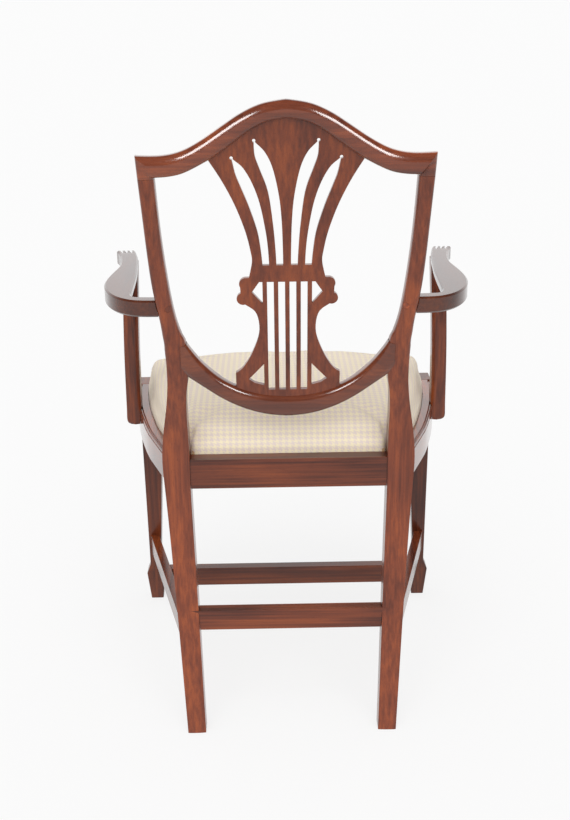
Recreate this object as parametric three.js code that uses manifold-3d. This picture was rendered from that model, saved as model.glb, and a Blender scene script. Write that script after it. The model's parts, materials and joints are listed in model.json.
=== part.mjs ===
// A shield back armchair in mahogany with a drop-in seat, built from its separate pieces.
// Millimetres, +Z up. The chair faces -Y, and +X is the sitter's left.
// While the pieces are worked out, Y = 0 is the back of the rear feet and Z = 0 the floor.
// At the end the whole chair is moved so that the middle of its footprint is at the origin.

import * as THREE from 'three';
import { mergeVertices } from 'three/addons/utils/BufferGeometryUtils.js';
import Module from 'manifold-3d';

const wasm = await Module();
wasm.setup();

// Fits shared by all joints
const fit = 0.3;                    // gap between two pieces that touch
const overrun = 6;                  // how far a cut, or an uncut end, runs past a face
const softGap = 0.5;                // gap round the covered seat in its opening

// Heights above the floor
const seatRailTop = 446;
const stretcherTop = 137;           // side and cross stretchers
const rearStretcherTop = 200;

// Heights above the seat rails
const armRise = 264;
const bendRise = 94;                // the curved rear leg becomes the straight raked back
const shieldFootRise = 72;          // lowest point of the shield
const cornerRise = 470.8;           // tips of the crest rail's corners

const armTop = seatRailTop + armRise;
const bendHeight = seatRailTop + bendRise;
const cornerHeight = seatRailTop + cornerRise;

// The line of the back, seen from the side
const bendSetback = 53;             // how far the bend lies in front of the rear feet's back
const footSlope = 0.17;             // forward lean of the rear leg at the floor
const backSlope = 0.231;            // backward lean of the shield

// Widths
const shieldHalfWidth = 198;
const seatHalfWidth = 265.5;        // to the outer faces of the front legs

// The frame of the shield
const shieldDepth = 24;             // front to back
const shieldRound = 10.5;           // how far the back is worked away at the rounded-over edge
const crestRise = 71.2;             // the crest rail's middle above its corners
const crestMiddleWidth = 24;
const crestEndWidth = 23.5;         // across the mitred corner
const crestEndDrop = 29.8;          // height of the mitred corner
const lowerRailWidth = 34;          // at the middle of the shield's foot
const legRound = 1.2;               // the same rounding, left on the flat rear legs
const edgeBreak = 1.5;              // small flats along worked edges

// Rear posts
const postSeatWidth = 41.4;
const postFootDepth = 28;
const postSeatDepth = 36;
const crestCornerDepth = 31.4;      // the crest rail's turned-down corner

// Front legs
const legHead = 40;                 // square section at the seat
const ankle = 20.6;                 // square section above the spade foot
const spadeTop = 34;
const spadeBottom = 23;
const spadeHeight = 57;
const spadeBevel = 17;              // height of the slope between ankle and spade
const legBack = 424;                // from the rear feet's back to the head's back face
const spadeInset = 1.3;             // the leg's outer face leans in by this much at the ankle
const legCorner = 1;

// Seat rails
const railHeight = 48;
const railThickness = 30;
const frontBow = 40;                // how far the front rail swells forward
const rearRailInset = 4;            // rear rail behind the posts' back faces
const rearRailThickness = 32;
const lipWidth = 18;                // moulded top, outside the seat
const rearLipWidth = 22;
const cornerClear = 28;             // the seat's curved edges have no points nearer to a corner
const rebateDepth = 14;             // the ledge that carries the seat, below the rail's top

// Stretchers
const stretcherHeight = 34;
const sideStretcherWidth = 16;
const crossStretcherWidth = 18;
const rearStretcherWidth = 18;
const stretcherSetIn = 3.5;         // side stretcher behind the front leg's outer face

// Arms
const armThickness = 24;
const supportTenon = 14;

// Tenons
const railTenonLength = 18;
const railTenonHeight = 30;
const railTenonThickness = 10;
const stretcherTenonLength = 10;
const stretcherTenonHeight = 22;
const stretcherTenonThickness = 8;

// Colours of the finishes
const mahogany = new THREE.MeshStandardMaterial({ color: 0x6d3423, roughness: 0.32, metalness: 0 });
const beech = new THREE.MeshStandardMaterial({ color: 0xc49a6c, roughness: 0.7, metalness: 0 });
const pelletWood = new THREE.MeshStandardMaterial({ color: 0x8e4228, roughness: 0.35, metalness: 0 });
const steel = new THREE.MeshStandardMaterial({ color: 0x8d8f92, roughness: 0.4, metalness: 1 });
const webCloth = new THREE.MeshStandardMaterial({ color: 0x8a6f4a, roughness: 0.95, metalness: 0 });
const hessianCloth = new THREE.MeshStandardMaterial({ color: 0xa98c5f, roughness: 0.95, metalness: 0 });
const hair = new THREE.MeshStandardMaterial({ color: 0x57473a, roughness: 1, metalness: 0 });
const coverCloth = new THREE.MeshStandardMaterial({ color: 0xe0d6bd, roughness: 0.85, metalness: 0 });
const underCloth = new THREE.MeshStandardMaterial({ color: 0x2b2a2a, roughness: 0.95, metalness: 0 });

// Solids from points

function solidFrom(positions, index) {
  let volume = 0;
  const [a, b, c] = [new THREE.Vector3(), new THREE.Vector3(), new THREE.Vector3()];
  for (let i = 0; i < index.length; i += 3) {
    a.fromArray(positions, 3 * index[i]);
    b.fromArray(positions, 3 * index[i + 1]);
    c.fromArray(positions, 3 * index[i + 2]);
    volume += a.dot(b.cross(c));
  }
  const facingOut = volume > 0 ? index : [...index].reverse();
  return new wasm.Manifold(new wasm.Mesh({
    numProp: 3,
    vertProperties: new Float32Array(positions),
    triVerts: new Uint32Array(facingOut),
  }));
}

// A closed three.js geometry as a solid, with its points moved by a function first.
function solidOf(geometry, place = (p) => p) {
  const bare = geometry.clone();
  bare.deleteAttribute('normal');
  bare.deleteAttribute('uv');
  const merged = mergeVertices(bare);
  const source = merged.getAttribute('position');
  const positions = [];
  for (let i = 0; i < source.count; i++) {
    positions.push(...place(new THREE.Vector3().fromBufferAttribute(source, i)).toArray());
  }
  return solidFrom(positions, [...merged.index.array]);
}

// The flat face that closes one ring of points, wound the same way as the ring.
function endFace(ring) {
  const normal = new THREE.Vector3();
  ring.forEach((p, i) => {
    normal.add(new THREE.Vector3().crossVectors(p, ring[(i + 1) % ring.length]));
  });
  normal.normalize();
  const across = new THREE.Vector3().subVectors(ring[1], ring[0]).normalize();
  const up = new THREE.Vector3().crossVectors(normal, across);
  const flat = ring.map((p) => new THREE.Vector2(p.dot(across), p.dot(up)));
  return THREE.ShapeUtils.triangulateShape(flat, []);
}

// Joins a row of rings, all with the same number of points, into one closed solid.
function loft(rings) {
  const count = rings[0].length;
  const last = (rings.length - 1) * count;
  const index = [];
  for (let start = 0; start < last; start += count) {
    for (let i = 0; i < count; i++) {
      const a = start + i;
      const b = start + ((i + 1) % count);
      index.push(a, b, b + count, a, b + count, a + count);
    }
  }
  endFace(rings[0]).forEach(([a, b, c]) => index.push(c, b, a));
  endFace(rings[rings.length - 1]).forEach(([a, b, c]) => index.push(last + a, last + b, last + c));
  return solidFrom(rings.flat().flatMap((p) => p.toArray()), index);
}

function box(x0, x1, y0, y1, z0, z1) {
  const geometry = new THREE.BoxGeometry(Math.abs(x1 - x0), Math.abs(y1 - y0), Math.abs(z1 - z0));
  geometry.translate((x0 + x1) / 2, (y0 + y1) / 2, (z0 + z1) / 2);
  return solidOf(geometry);
}

function mirrored(solid) {
  const mesh = solid.getMesh();
  const positions = [...mesh.vertProperties];
  for (let i = 0; i < positions.length; i += 3) {
    positions[i] = -positions[i];
  }
  return solidFrom(positions, [...mesh.triVerts]);
}

function cut(solid, ...tools) {
  return tools.reduce((rest, tool) => rest.subtract(tool), solid);
}

function cutBothSides(solid, ...tools) {
  return cut(solid, ...tools, ...tools.map(mirrored));
}

const turnSides = 12;               // round a turned piece

// A turned piece: its outline from one end of the axis to the other, set at a place and direction.
function turned(outline, place, direction) {
  const geometry = new THREE.LatheGeometry(outline.map(([r, h]) => new THREE.Vector2(r, h)), turnSides);
  const turn = new THREE.Quaternion().setFromUnitVectors(new THREE.Vector3(0, 1, 0), direction);
  return solidOf(geometry, (p) => p.applyQuaternion(turn).add(place));
}

// Smooth rows between the rows of a table.
function smoothRows(rows, stepsEach) {
  const points = rows.map((row) => new THREE.Vector3(...row));
  const curve = new THREE.CatmullRomCurve3(points, false, 'centripetal');
  return curve.getPoints((rows.length - 1) * stepsEach).map((p) => p.toArray());
}

function vector(x, y) {
  return new THREE.Vector2(x, y);
}

// A place in plan, by shares of the way across between two values and of the way forward between two.
function placed([across, along], [near, wide], [rear, front]) {
  return [THREE.MathUtils.lerp(near, wide, across), THREE.MathUtils.lerp(rear, front, along)];
}

function smoothPlan(pairs, steps) {
  return new THREE.SplineCurve(pairs.map(([x, y]) => vector(x, y))).getPoints(steps);
}

// The chair as a scene

const chair = new THREE.Group();

function add(name, solid, material) {
  const mesh = solid.getMesh();
  const geometry = new THREE.BufferGeometry();
  geometry.setAttribute('position', new THREE.Float32BufferAttribute(mesh.vertProperties, 3));
  geometry.setIndex([...mesh.triVerts]);
  geometry.computeVertexNormals();
  const piece = new THREE.Mesh(geometry, material);
  piece.name = name;
  chair.add(piece);
}

function addPair(name, solid, material) {
  add(`${name}_left`, solid, material);
  add(`${name}_right`, mirrored(solid), material);
}

// The back: every point is given by its place across, its height and its depth from the back

function backLine(height) {
  if (height >= bendHeight) {
    return -bendSetback + backSlope * (height - bendHeight);
  }
  const t = height / bendHeight;
  const lean = -footSlope * bendHeight * (t ** 3 - 2 * t ** 2 + t);
  const set = -bendSetback * (3 * t ** 2 - 2 * t ** 3);
  return lean + set + backSlope * bendHeight * (t ** 3 - t ** 2);
}

function onBack(x, height, depth) {
  return new THREE.Vector3(x, backLine(height) - depth, height);
}

// The rounded back of the frame, from the edge that is worked down most to the other one: a share of
// the width, and a share of the round's depth.
const roundedBackShares = [
  [0, 1], [0.03, 0.8], [0.08, 0.61], [0.15, 0.44], [0.24, 0.3], [0.34, 0.18], [0.45, 0.085],
  [0.57, 0.02], [0.7, 0], [0.83, 0.05], [0.93, 0.2], [1, 0.5],
];
const turnedBackShares = roundedBackShares.map(([x, deep]) => [1 - x, deep]).reverse();

// One ring of the shield's frame, between its outer and inner edge: worked behind, flat in front.
function frameRing(outer, inner, depth, round, backShares, grow = 0) {
  const width = Math.hypot(inner[0] - outer[0], inner[1] - outer[1]);
  const along = [(inner[0] - outer[0]) / width, (inner[1] - outer[1]) / width];
  const at = (far, deep) => onBack(outer[0] + along[0] * far, outer[1] + along[1] * far, deep);
  const points = backShares.map(([x, deep]) => at(x * (width + 2 * grow) - grow, deep * round - grow));
  points.push(at(width + grow, depth + grow - edgeBreak));
  points.push(at(width + grow - edgeBreak, depth + grow));
  points.push(at(edgeBreak - grow, depth + grow));
  points.push(at(-grow, depth + grow - edgeBreak));
  return points;
}

function backBlock(x0, x1, z0, z1, depth0, depth1) {
  const ring = (x) => [
    onBack(x, z0, depth0), onBack(x, z0, depth1), onBack(x, z1, depth1), onBack(x, z1, depth0),
  ];
  return loft([ring(x0), ring(x1)]);
}

// Rear posts. Each row is a height as a share of the post's height, the outer edge as a share of
// the shield's half width, and the width as a share of the width at the seat.
const postHeight = cornerHeight - crestCornerDepth;
const postShares = [
  [0, 0.841, 0.69], [0.2256, 0.9, 0.802], [0.4383, 0.957, 0.932], [0.495, 0.971, 1],
  [0.5297, 0.964, 0.969], [0.5874, 0.927, 0.778], [0.6212, 0.904, 0.691], [0.6411, 0.8955, 0.688],
  [0.6599, 0.89, 0.732], [0.6908, 0.889, 0.725], [0.7236, 0.897, 0.763], [0.7395, 0.905, 0.669],
  [0.7544, 0.91, 0.592], [0.7772, 0.922, 0.546], [0.819, 0.95, 0.563], [0.8796, 0.969, 0.539],
  [0.9382, 0.98, 0.519], [1, 0.9927, 0.538],
];
const roundStartShare = 0.616;      // the rounded back grows out of the flat leg between these heights
const roundEndShare = 0.755;
const postStepsEach = 2;

function postDepth(height) {
  if (height <= seatRailTop) {
    return THREE.MathUtils.lerp(postFootDepth, postSeatDepth, height / seatRailTop);
  }
  const slim = THREE.MathUtils.smoothstep(height, seatRailTop, roundEndShare * postHeight);
  return THREE.MathUtils.lerp(postSeatDepth, shieldDepth, slim);
}

function postRound(height) {
  const grown = THREE.MathUtils.smoothstep(height, roundStartShare * postHeight, roundEndShare * postHeight);
  return THREE.MathUtils.lerp(legRound, shieldRound, grown);
}

const postRows = smoothRows(postShares, postStepsEach).map(([rise, out, wide]) => {
  return { height: rise * postHeight, outer: out * shieldHalfWidth, width: wide * postSeatWidth };
});

function postAt(height) {
  const below = postRows.filter((row) => row.height < height).length;
  const upper = THREE.MathUtils.clamp(below, 1, postRows.length - 1);
  const [a, b] = [postRows[upper - 1], postRows[upper]];
  const t = (height - a.height) / (b.height - a.height);
  const outer = THREE.MathUtils.lerp(a.outer, b.outer, t);
  const width = THREE.MathUtils.lerp(a.width, b.width, t);
  return { outer, inner: outer - width, centre: outer - width / 2 };
}

function postSolid(grow = 0) {
  return loft(postRows.map(({ height, outer, width }) => {
    return frameRing([outer, height], [outer - width, height], postDepth(height), postRound(height),
      turnedBackShares, grow);
  }));
}

const postTenonSize = 10;
const postTenonLength = 16;

function postTenon(grow = 0) {
  const { centre } = postAt(postHeight);
  const half = postTenonSize / 2 + grow;
  const middle = (shieldRound + shieldDepth) / 2;
  return backBlock(centre - half, centre + half, postHeight - postTenonLength,
    postHeight + postTenonLength + grow, middle - half, middle + half);
}

// Crest rail. The rows are the top edge and the underside, as shares of their own half width and rise.
const crestTopShares = [
  [1, 0], [0.83, -0.005], [0.69, 0.08], [0.555, 0.277], [0.424, 0.52], [0.293, 0.758], [0.157, 0.925], [0, 1],
];
const crestUnderShares = [
  [1, 0], [0.8825, 0.017], [0.757, 0.09], [0.56, 0.325], [0.407, 0.571], [0.264, 0.805],
  [0.143, 0.94], [0, 1],
];
const crestTop = cornerHeight + crestRise;
const crestUnderTop = crestTop - crestMiddleWidth;
const crestUnderHalf = shieldHalfWidth - crestEndWidth;
const crestUnderCorner = cornerHeight - crestEndDrop;
const crestSteps = 27;
const tongue = 8;                   // how far the splat enters the rails above and below it

const crestTopEdge = smoothPlan(crestTopShares.map(([x, z]) => {
  return [x * shieldHalfWidth, cornerHeight + z * crestRise];
}), crestSteps);
const crestUnderEdge = smoothPlan(crestUnderShares.map(([x, z]) => {
  return [x * crestUnderHalf, crestUnderCorner + z * (crestUnderTop - crestUnderCorner)];
}), crestSteps);

function crestSolid() {
  const stub = postAt(postHeight);
  const half = [
    frameRing([stub.outer, postHeight + fit], [stub.inner, postHeight + fit], shieldDepth, shieldRound,
      turnedBackShares),
    ...crestTopEdge.map((top, i) => {
      const under = crestUnderEdge[i];
      return frameRing([top.x, top.y], [under.x, under.y], shieldDepth, shieldRound, roundedBackShares);
    }),
  ];
  const other = half.slice(0, -1).reverse().map((ring) => {
    return ring.map((p) => new THREE.Vector3(-p.x, p.y, p.z));
  });
  return loft([...half, ...other]);
}

// Lower rail of the shield, as shares of its half width and of the rise of each edge.
const lowerTopShares = [
  [0, 0], [0.192, 0.022], [0.384, 0.096], [0.562, 0.225], [0.726, 0.416], [0.897, 0.73], [1, 1], [1.06, 1.2],
];
const lowerUnderShares = [
  [0, 0], [0.219, 0.053], [0.452, 0.22], [0.664, 0.477], [0.849, 0.788], [0.952, 0.962],
  [1, 1.05], [1.06, 1.2],
];
const lowerUnderRise = 66;          // from the middle to the posts, below and above
const lowerTopRise = 89;
const lowerUnderBottom = seatRailTop + shieldFootRise;
const lowerTopBottom = lowerUnderBottom + lowerRailWidth;
const lowerJointMiddle = (lowerUnderBottom + lowerUnderRise + lowerTopBottom + lowerTopRise) / 2;
const lowerRailHalf = postAt(lowerJointMiddle).inner;
const lowerSteps = 20;

const lowerTopEdge = smoothPlan(lowerTopShares.map(([x, z]) => {
  return [x * lowerRailHalf, lowerTopBottom + z * lowerTopRise];
}), lowerSteps);
const lowerUnderEdge = smoothPlan(lowerUnderShares.map(([x, z]) => {
  return [x * lowerRailHalf, lowerUnderBottom + z * lowerUnderRise];
}), lowerSteps);

function lowerRailSolid() {
  const half = lowerTopEdge.map((top, i) => {
    const under = lowerUnderEdge[i];
    return frameRing([under.x, under.y], [top.x, top.y], shieldDepth, shieldRound, turnedBackShares);
  });
  const other = half.slice(1).reverse().map((ring) => ring.map((p) => new THREE.Vector3(-p.x, p.y, p.z)));
  return loft([...other, ...half]);
}

const lowerTenonLength = 12;
const lowerTenonHeight = 26;
const lowerTenonThickness = 9;

function lowerTenon(grow = 0) {
  const half = lowerTenonHeight / 2 + grow;
  const depth = (shieldRound + shieldDepth) / 2;
  return backBlock(lowerRailHalf - lowerTenonLength, lowerRailHalf + lowerTenonLength + grow,
    lowerJointMiddle - half, lowerJointMiddle + half, depth - lowerTenonThickness / 2 - grow,
    depth + lowerTenonThickness / 2 + grow);
}

// Splat: one pierced board with a fan of five strips above and a lyre of five strings below.
const splatThickness = 9;
const splatDepth = 8.5;             // its back face, in front of the frame's back
const fanHalf = 102;                // where the fan leaves the crest rail
const baseHalf = 76;                // where the base leaves the lower rail
const waistHalf = 48.4;             // under the fan
const lyreWaistHalf = 40.5;         // the lyre's narrowest place
const upperEarRadius = 9.4;
const lowerEarRadius = 9.2;
const earStep = 4.3;                // the lower ear stands out further than the upper
const stringPitch = 15.75;
const stringWidth = 6.3;
const drillRadius = 2.3;            // the holes that end the fan's slots
const splatSegments = 4;

// Heights on the splat, as shares of the way from the lower rail to the crest rail at the middle.
const splatShares = {
  stringFoot: 0.0267, piercingFoot: 0.045, shoulder: 0.097, lowerPiercingTop: 0.131, lyreWaist: 0.257,
  upperPiercingFoot: 0.3653, lowerEar: 0.3847, upperEar: 0.4395, crossbarBottom: 0.4466, crossbarTop: 0.5073,
  waist: 0.5195,
};

function splatHeight(share) {
  return THREE.MathUtils.lerp(lowerTopBottom, crestUnderTop, share);
}

const crossbarTop = splatHeight(splatShares.crossbarTop);
const crossbarBottom = splatHeight(splatShares.crossbarBottom);

// Edges of the fan's slots: across as a share of the fan's half width, height as a share of its height.
const outerSlotShares = [
  [[0.686, 0.955], [0.657, 0.865], [0.592, 0.745], [0.497, 0.573], [0.396, 0.345], [0.355, 0.17], [0.332, 0]],
  [[0.243, 0], [0.256, 0.17], [0.285, 0.345], [0.353, 0.597], [0.447, 0.79], [0.56, 0.93], [0.662, 0.995]],
];
const innerSlotShares = [
  [[0.414, 1.125], [0.402, 1.03], [0.348, 0.92], [0.24, 0.7], [0.178, 0.37], [0.152, 0.13], [0.144, 0]],
  [[0.053, 0], [0.056, 0.17], [0.068, 0.43], [0.1, 0.668], [0.176, 0.919], [0.27, 1.065], [0.384, 1.15]],
];
const outerDrillShares = [0.706, 1.02];
const innerDrillShares = [0.412, 1.172];
const fanEdgeShares = [[0.835, 0.81], [0.676, 0.58], [0.552, 0.335], [0.491, 0.145]];

// Where the ears' arcs begin and end, as shares of a half turn, and points of the lyre's curve.
const upperEarTurnShares = [0.55, -0.17];
const lowerEarTurnShares = [0.38, -0.6];
const lyreNeckShares = [0.16, 0.57];
const lyreFootShares = [[0.31, 0.51], [0.7, 0.87]];

function earArc(edge, x, height, radius, [from, to]) {
  edge.absarc(x, height, radius, Math.PI * from, Math.PI * to, true);
}

function splatHalfEdge() {
  const fanFoot = edgeHeight(crestUnderEdge, fanHalf);
  const upperEar = vector(waistHalf + upperEarRadius, splatHeight(splatShares.upperEar));
  const lowerEar = vector(upperEar.x + earStep, splatHeight(splatShares.lowerEar));
  const waist = vector(waistHalf, splatHeight(splatShares.waist));
  const lyreWaist = vector(lyreWaistHalf, splatHeight(splatShares.lyreWaist));
  const shoulder = vector(baseHalf, splatHeight(splatShares.shoulder));
  const between = (a, b, [x, z]) => {
    return vector(THREE.MathUtils.lerp(a.x, b.x, x), THREE.MathUtils.lerp(a.y, b.y, z));
  };
  const edge = new THREE.Path();
  edge.moveTo(fanHalf, fanFoot + tongue);
  edge.lineTo(fanHalf, fanFoot);
  edge.splineThru([
    ...fanEdgeShares.map(onFan),
    waist,
    vector(upperEar.x - upperEarRadius / 2, upperEar.y + upperEarRadius),
  ]);
  earArc(edge, upperEar.x, upperEar.y, upperEarRadius, upperEarTurnShares);
  earArc(edge, lowerEar.x, lowerEar.y, lowerEarRadius, lowerEarTurnShares);
  edge.splineThru([
    between(lyreWaist, lowerEar, lyreNeckShares),
    lyreWaist,
    ...lyreFootShares.map((shares) => between(lyreWaist, shoulder, shares)),
    shoulder,
  ]);
  return edge.getPoints(splatSegments);
}

// The splat's ends follow the rails, a tongue's length inside them.
function tongueEdge(edge, halfWidth, inside) {
  return edge.filter((p) => p.x >= 0 && p.x < halfWidth - fit).map((p) => vector(p.x, p.y + inside));
}

// A point of the fan: across as a share of its half width, and up as a share of its height.
function onFan([x, z]) {
  return vector(x * fanHalf, THREE.MathUtils.lerp(crossbarTop, edgeHeight(crestUnderEdge, fanHalf), z));
}

function edgeHeight(edge, x) {
  const after = edge.findIndex((p, i) => i > 0 && (p.x - x) * (edge[i - 1].x - x) <= 0);
  const [a, b] = [edge[after - 1], edge[after]];
  return THREE.MathUtils.lerp(a.y, b.y, (x - a.x) / (b.x - a.x));
}

function slot(shares, drillShares) {
  const hole = new THREE.Shape();
  const [left, right] = shares.map((edge) => edge.map(onFan));
  const drill = onFan(drillShares);
  hole.moveTo(left[0].x, left[0].y);
  hole.splineThru(left.slice(1));
  hole.lineTo(right[0].x, right[0].y);
  hole.splineThru(right.slice(1));
  const start = right[right.length - 1].clone().sub(drill).angle();
  const end = left[0].clone().sub(drill).angle();
  hole.absarc(drill.x, drill.y, drillRadius, start, end, true);
  return hole;
}

// The two small three-sided piercings beside the outer string, by shares of the space they lie in.
const upperPiercingShares = [[0, 1], [0.3, 1], [0.98, 0.54], [0, 0]];
const lowerPiercingShares = [[0, 1], [1, 0.3], [0.62, 0.12], [0, 0]];
const upperPiercingWidth = 15.2;
const lowerPiercingWidth = 22.4;

// A flat outline made into a board that lies in the slope of the back.
function board(shape, depth, thickness) {
  const geometry = new THREE.ExtrudeGeometry(shape,
    { depth: thickness, bevelEnabled: false, curveSegments: splatSegments });
  return solidOf(geometry, (p) => onBack(p.x, p.y, depth + p.z));
}

// An outline that is the same on both sides of the middle, from the points of its right half.
function evenShape(half) {
  const right = half.filter((p) => p.x > stringWidth / 3);
  const left = right.map((p) => vector(-p.x, p.y)).reverse();
  return new THREE.Shape([...right, ...left].reverse());
}

function splatOutline() {
  const edge = splatHalfEdge();
  edge[0].y = edgeHeight(crestUnderEdge, fanHalf) + tongue;
  const top = tongueEdge(crestUnderEdge, fanHalf, tongue).reverse();
  const corner = vector(baseHalf, edgeHeight(lowerTopEdge, baseHalf) - tongue);
  const foot = tongueEdge(lowerTopEdge, baseHalf, -tongue).reverse();
  return evenShape([...top, ...edge, corner, ...foot]);
}

function splatPiercings() {
  const outerString = 2 * stringPitch + stringWidth / 2;
  const upperFoot = splatHeight(splatShares.upperPiercingFoot);
  const lowerFoot = splatHeight(splatShares.piercingFoot);
  const lowerTop = splatHeight(splatShares.lowerPiercingTop);
  const stringFoot = splatHeight(splatShares.stringFoot);
  const upper = upperPiercingShares.map(([x, z]) => {
    return vector(outerString + x * upperPiercingWidth, THREE.MathUtils.lerp(upperFoot, crossbarBottom, z));
  });
  const lower = lowerPiercingShares.map(([x, z]) => {
    return vector(outerString + x * lowerPiercingWidth, THREE.MathUtils.lerp(lowerFoot, lowerTop, z));
  });
  const slots = [0, 1].map((place) => {
    const near = place * stringPitch + stringWidth / 2;
    const far = near + stringPitch - stringWidth;
    return [vector(near, crossbarBottom), vector(far, crossbarBottom), vector(far, stringFoot),
      vector(near, stringFoot)];
  });
  return [upper, lower, ...slots].map((points) => new THREE.Shape(points));
}

function splatSolid() {
  const fan = [slot(outerSlotShares, outerDrillShares), slot(innerSlotShares, innerDrillShares)];
  const tools = [...fan, ...splatPiercings()].map((shape) => {
    return board(shape, splatDepth - overrun, splatThickness + 2 * overrun);
  });
  return cutBothSides(board(splatOutline(), splatDepth, splatThickness), ...tools);
}

// The groove for one end of the splat: a band along the rail's edge, as wide as the splat's end.
function splatGroove(edge, halfWidth, inside) {
  const half = edge.filter((p) => p.x >= 0 && p.x < halfWidth - fit).sort((a, b) => a.x - b.x);
  const near = [...half, vector(halfWidth + fit, edgeHeight(edge, halfWidth))];
  const floor = near.map((p) => vector(p.x, p.y + inside + Math.sign(inside) * fit));
  const mouth = near.map((p) => vector(p.x, p.y - inside)).reverse();
  const outline = inside > 0 ? [...floor, ...mouth] : [...mouth.reverse(), ...floor.reverse()];
  return board(evenShape(outline), splatDepth - fit, splatThickness + 2 * fit);
}

// Front legs

const legCentreTop = { x: seatHalfWidth - legHead / 2, y: -(legBack + legHead / 2) };
const legCentreFoot = { x: seatHalfWidth - spadeInset - ankle / 2, y: legCentreTop.y + spadeInset };

function squareRing(centre, size, height) {
  const half = size / 2;
  const corner = half - legCorner;
  const points = [
    [half, corner], [corner, half], [-corner, half], [-half, corner],
    [-half, -corner], [-corner, -half], [corner, -half], [half, -corner],
  ];
  return points.map(([x, y]) => new THREE.Vector3(centre.x + x, centre.y + y, height));
}

function legSolid(grow = 0) {
  const two = 2 * grow;
  return loft([
    squareRing(legCentreFoot, spadeBottom + two, 0),
    squareRing(legCentreFoot, spadeTop + two, spadeHeight),
    squareRing(legCentreFoot, ankle + two, spadeHeight + spadeBevel),
    squareRing(legCentreTop, legHead + two, seatRailTop - railHeight),
    squareRing(legCentreTop, legHead + two, seatRailTop - legCorner),
    squareRing(legCentreTop, legHead - 2 * legCorner + two, seatRailTop + grow),
  ]);
}

// Room for the leg's square head and all that stands above it.
function legHeadRoom() {
  const half = legHead / 2 + fit;
  return box(legCentreTop.x - half, legCentreTop.x + half, legCentreTop.y - half, legCentreTop.y + half,
    seatRailTop - railHeight, seatRailTop + overrun);
}

// Seat rails. The side's outer face in plan: across as a share of the way from the rear post's outer
// face to the front leg's, and forward as a share of the way from the post to the leg.
const sidePlanShares = [
  [-0.126, -0.053], [0.052, 0.032], [0.243, 0.149], [0.475, 0.295], [0.65, 0.451],
  [0.803, 0.612], [0.925, 0.801], [0.985, 1], [0.993, 1.053],
];
const frontPlanShares = [[-1.08, 0], [-1, 0], [-0.55, 0.7], [0, 1], [0.55, 0.7], [1, 0], [1.08, 0]];
const railSteps = 14;
const legFront = legBack + legHead;
const frontRailHalf = seatHalfWidth - legHead;

const postSeat = postAt(seatRailTop);
const postFront = backLine(seatRailTop) - postSeatDepth;

const sidePlan = smoothPlan(sidePlanShares.map((shares) => {
  return placed(shares, [postSeat.outer, seatHalfWidth], [postFront, -legBack]);
}), railSteps);
const frontPlan = smoothPlan(frontPlanShares.map(([x, y]) => {
  return [-x * frontRailHalf, -(legFront + y * frontBow)];
}), railSteps);

// The moulding at the top of a rail: a quirk, a bead, a groove and a flat lip.
const quirk = 1.2;
const beadRadius = 3;
const grooveWidth = 1.6;
const grooveDepth = 2.4;
const beadTurnShares = [0.9, 0.55, 0.2];      // of a half turn, from the quirk over to the groove

function railSection(grow = 0) {
  const bottom = -railHeight - grow;
  const beadBase = -2 * beadRadius;
  const bead = beadTurnShares.map((turn) => {
    const angle = Math.PI * turn;
    return [beadRadius * (1 - Math.cos(Math.PI - angle)) / 2, -beadRadius * (1 - Math.sin(angle)) - fit];
  });
  return [
    [-grow, bottom], [-grow, beadBase - quirk], [quirk - grow, beadBase - quirk + fit],
    [quirk - grow, beadBase], [-grow, -beadRadius - quirk], ...bead.map(([a, z]) => [a, z + grow]),
    [beadRadius + grooveWidth / 2, grow - grooveDepth], [beadRadius + grooveWidth, grow - grooveDepth],
    [beadRadius + 2 * grooveWidth, grow], [lipWidth + grow, grow], [lipWidth + grow, -rebateDepth + grow],
    [railThickness + grow, -rebateDepth + grow], [railThickness + grow, bottom],
  ];
}

// A rail along its outer face, with the section measured inwards from that face and down from the top.
function bentRail(plan, section) {
  const curve = plan.map((p, i) => {
    const before = plan[Math.max(0, i - 1)];
    const after = plan[Math.min(plan.length - 1, i + 1)];
    const ahead = after.clone().sub(before).normalize();
    return { p, inward: vector(ahead.y, -ahead.x) };
  });
  return loft(curve.map(({ p, inward }) => section.map(([a, z]) => {
    return new THREE.Vector3(p.x + inward.x * a, p.y + inward.y * a, seatRailTop + z);
  })));
}

const railBottom = seatRailTop - railHeight;
const rearRailBack = backLine(seatRailTop) - rearRailInset;
const rearRailFront = rearRailBack - rearRailThickness;
const railTenonBottom = railBottom + (railHeight - rebateDepth - railTenonHeight) / 2;
const railTenonTop = railTenonBottom + railTenonHeight;

function rearRailSolid() {
  const half = postSeat.inner + edgeBreak;
  const bar = box(-half, half, rearRailFront, rearRailBack, railBottom, seatRailTop);
  const rebate = box(-half - overrun, half + overrun, rearRailFront - overrun, rearRailBack - rearLipWidth,
    seatRailTop - rebateDepth, seatRailTop + overrun);
  return bar.subtract(rebate);
}

function rearRailTenon(grow = 0) {
  const middle = rearRailBack - rearRailThickness / 3;
  const reach = postSeat.inner + railTenonLength;
  return box(postSeat.inner - railTenonLength, reach + grow, middle - railTenonThickness / 2 - grow,
    middle + railTenonThickness / 2 + grow, railTenonBottom - grow, railTenonTop + grow);
}

const sideTenonInset = 5;           // the side rail's tenon from the post's outer face

function sideRailRearTenon(grow = 0) {
  const outer = postSeat.outer - sideTenonInset;
  return box(outer - railTenonThickness - grow, outer + grow, postFront - railTenonLength,
    postFront + railTenonLength + grow, railTenonBottom - grow, railTenonTop + grow);
}

function sideRailFrontTenon(grow = 0) {
  const outer = seatHalfWidth - legHead / 4;
  return box(outer - railTenonThickness - grow, outer + grow, -legBack - railTenonLength - grow,
    -legBack + railTenonLength, railTenonBottom - grow, railTenonTop + grow);
}

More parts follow.
